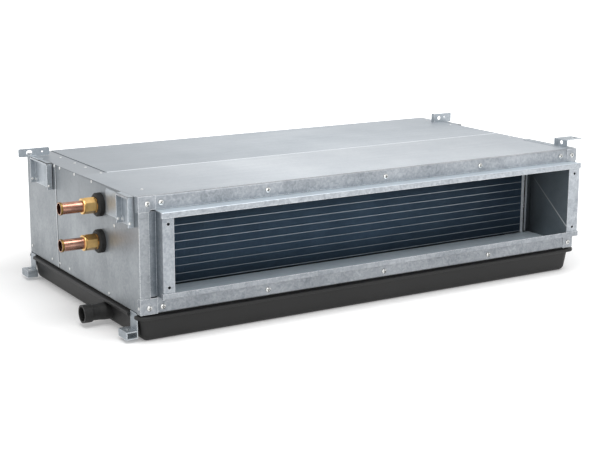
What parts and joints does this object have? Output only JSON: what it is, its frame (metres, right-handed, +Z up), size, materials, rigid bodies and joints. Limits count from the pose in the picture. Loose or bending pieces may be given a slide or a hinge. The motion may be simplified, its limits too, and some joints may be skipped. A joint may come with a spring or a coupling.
{
  "type": "fan coil unit",
  "caption": "Low horizontal fan coil unit in a galvanised casing, with a finned coil behind a duct collar, water stubs, a black drain pan and ceiling hangers.",
  "frame": {"origin": "centre of the underside of the drain pan, the face that it stands on", "axes": "+X along the outlet from the water connections to the electrical box, +Y from the duct outlet to the air return, +Z up"},
  "size_m": [1.3008, 0.6645, 0.324],
  "materials": {
    "galvanised": "galvanised, satin",
    "aluminium": "satin",
    "fins": "dark blue coating",
    "copper": "bare copper",
    "brass": "machined",
    "rubber": "matt",
    "foam": "closed-cell foam",
    "pan": "matt black",
    "plastic": "matt black",
    "motor": "painted",
    "steel": "bright steel",
    "screws": "zinc plated",
    "mesh": "woven mesh"
  },
  "bodies": {
    "casing": {"left_front_panel": "galvanised", "left_rear_panel": "galvanised", "right_front_panel": "galvanised", "right_rear_panel": "galvanised", "front_top_cover": "galvanised", "rear_top_cover": "galvanised", "bottom_panel": "galvanised", "top_rail": "galvanised", "bottom_rail": "galvanised", "left_post": "galvanised", "right_post": "galvanised", "corner_plates": "galvanised", "collar_top": "galvanised", "collar_bottom": "galvanised", "collar_left": "galvanised", "collar_right": "galvanised", "left_air_guide": "galvanised", "right_air_guide": "galvanised", "coil_floor": "galvanised", "fan_deck": "galvanised", "coil_end_plate_left": "galvanised", "coil_end_plate_right": "galvanised", "rear_frame": "galvanised", "filter_rails": "galvanised", "electrical_box": "galvanised", "electrical_lid": "galvanised", "front_left_bracket": "galvanised", "rear_left_bracket": "galvanised", "front_right_bracket": "galvanised", "rear_right_bracket": "galvanised", "left_feet": "galvanised", "left_blower_housing": "galvanised", "right_blower_housing": "galvanised", "motor_cradle": "galvanised", "coil_fins": "fins", "coil_tubes": "copper", "return_bends": "copper", "supply_header": "copper", "return_header": "copper", "supply_fitting": "brass", "return_fitting": "brass", "stub_rings": "brass", "supply_grommet": "rubber", "return_grommet": "rubber", "pan_gasket": "rubber", "top_insulation": "foam", "drain_pan": "pan", "drain_spigot": "pan", "terminal_block": "plastic", "cable_gland": "plastic", "motor_body": "motor", "motor_bearings": "steel", "front_screws": "screws", "side_screws": "screws", "bracket_rivets": "screws"},
    "rotor": {"fan_shaft": "steel", "left_blower_wheel": "galvanised", "right_blower_wheel": "galvanised"},
    "filter": {"filter_frame": "aluminium", "filter_mesh": "mesh"}
  },
  "joints": [
    {"name": "fan_spin", "type": "hinge", "parent": "casing", "child": "rotor", "pos_m": [0, 0.058, 0.178], "axis": [1, 0, 0], "continuous": true},
    {"name": "filter_slide", "type": "slide", "parent": "casing", "child": "filter", "axis": [1, 0, 0], "range_m": [0, 0.9]}
  ]
}
